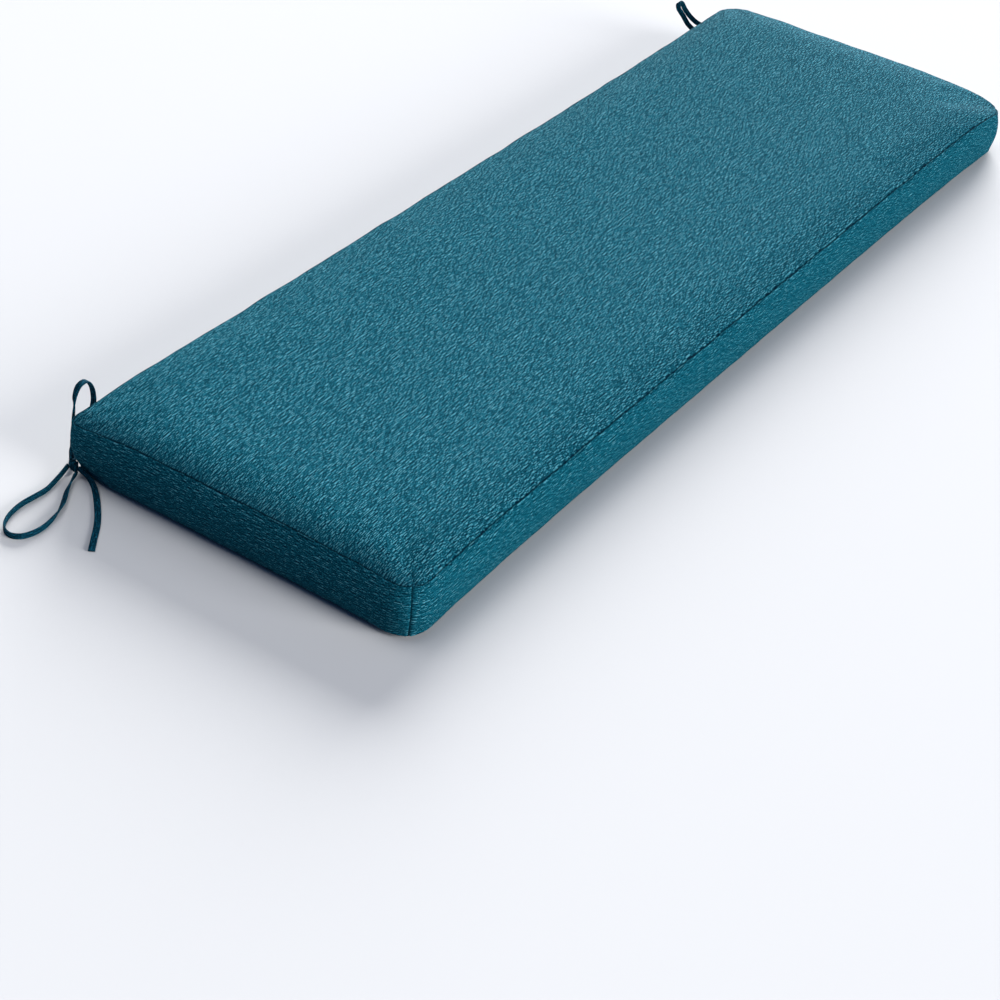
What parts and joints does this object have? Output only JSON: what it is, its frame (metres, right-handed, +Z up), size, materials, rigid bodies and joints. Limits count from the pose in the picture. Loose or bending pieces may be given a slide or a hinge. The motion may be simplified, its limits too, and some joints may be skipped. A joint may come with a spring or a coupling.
{
  "type": "bench cushion",
  "caption": "Long boxed seat cushion with rounded corners, a gentle crown, sewn edges and straps tied in bows at the back corners.",
  "frame": {"origin": "middle of the underside, on the surface that the cushion lies on", "axes": "+Z up, X along the cushion's length, +Y towards the back edge that carries the ties"},
  "size_m": [1.3102, 0.4119, 0.0715],
  "materials": {
    "cover_cloth": "woven polyester with slubs, matt",
    "strap_cloth": "folded and stitched polyester strap, matt"
  },
  "bodies": {
    "root": {"cushion": "cover_cloth", "left_tie_knot": "strap_cloth", "left_tie_standing_loop": "strap_cloth", "left_tie_side_loop": "strap_cloth", "left_tie_front_tail": "strap_cloth", "left_tie_back_tail": "strap_cloth", "right_tie_knot": "strap_cloth", "right_tie_standing_loop": "strap_cloth", "right_tie_side_loop": "strap_cloth", "right_tie_front_tail": "strap_cloth", "right_tie_back_tail": "strap_cloth"}
  },
  "joints": []
}
